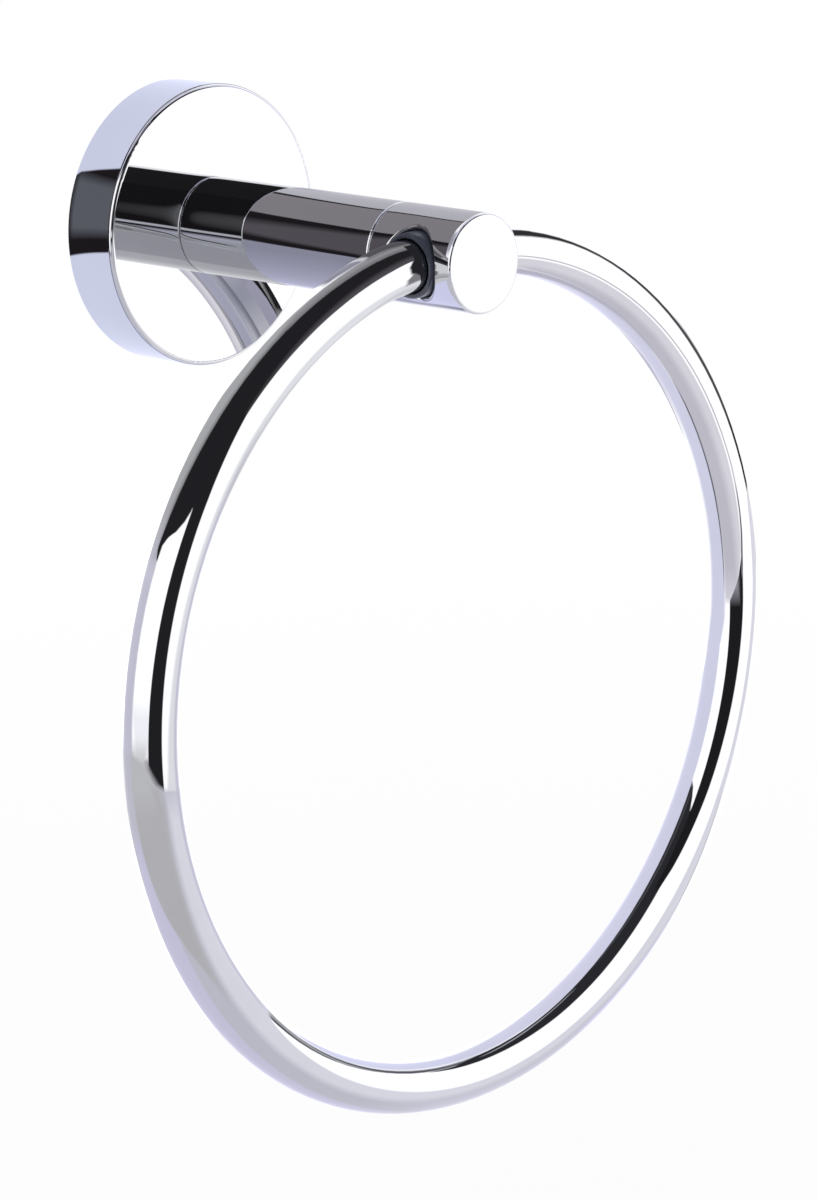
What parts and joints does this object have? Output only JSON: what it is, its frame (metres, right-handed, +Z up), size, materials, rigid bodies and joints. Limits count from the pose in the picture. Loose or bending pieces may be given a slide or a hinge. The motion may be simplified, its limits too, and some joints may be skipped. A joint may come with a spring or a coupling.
{
  "type": "towel ring",
  "caption": "Wall-mounted towel ring: a round rosette, a straight round post and a swinging ring of bright tube carried in plastic bushes in the post's head.",
  "frame": {"origin": "on the wall plane, on the post's axis behind the rosette, midway between the two wall screws", "axes": "+Z up, +Y into the wall, -Y towards the user along the post, +X to the right as seen from the front; the ring hangs down"},
  "size_m": [0.172, 0.0835, 0.1933],
  "materials": {
    "polished_chrome": "mirror-polished chrome plating on brass",
    "bush_plastic": "dark blue-grey moulded plastic, slightly glossy",
    "cast_plate": "die-cast grey metal, as cast",
    "steel_fixings": "zinc-plated steel"
  },
  "bodies": {
    "wall_bracket": {"rosette": "polished_chrome", "wall_plate": "cast_plate", "grub_screw": "steel_fixings", "post": "polished_chrome", "head": "polished_chrome", "tie_rod": "steel_fixings", "tie_nut": "steel_fixings", "tie_washer": "steel_fixings", "bush_left": "bush_plastic", "bush_right": "bush_plastic"},
    "swing_ring": {"ring": "polished_chrome", "ring_joint_pin": "steel_fixings"}
  },
  "joints": [
    {"name": "ring_swing", "type": "hinge", "parent": "wall_bracket", "child": "swing_ring", "pos_m": [0, -0.073, 0], "axis": [-1, 0, 0], "range_deg": [-25, 205]}
  ]
}
